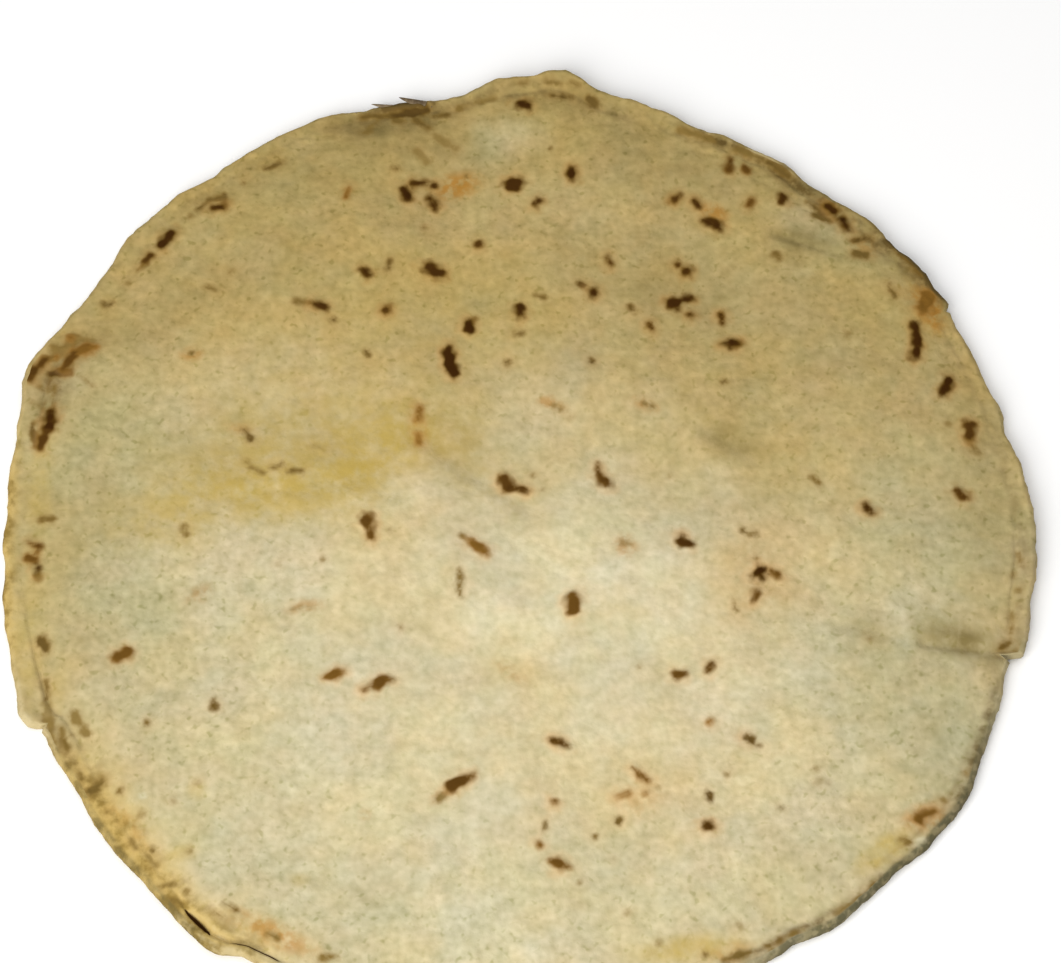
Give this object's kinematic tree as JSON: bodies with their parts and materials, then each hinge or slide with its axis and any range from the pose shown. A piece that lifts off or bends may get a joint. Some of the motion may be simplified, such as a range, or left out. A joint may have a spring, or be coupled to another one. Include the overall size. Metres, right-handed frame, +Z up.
{
  "type": "bajra bhakri flatbread",
  "caption": "Round pearl-millet flatbread, patted out by hand, lying flat with its scorched side up: low puffed swells inside a thin uneven ledge that is torn and curled in places.",
  "frame": {"origin": "on the surface that the bread lies on, under the middle of its bounding box", "axes": "+Z up out of the scorched top, +Y towards the corner that stands out of the edge, away from the viewer of the picture, +X to that viewer's right"},
  "size_m": [0.221, 0.2242, 0.0062],
  "materials": {
    "bread": "dry baked millet crust, matte, khaki with dark brown scorch marks"
  },
  "bodies": {
    "root": {"bhakri": "bread"}
  },
  "joints": []
}
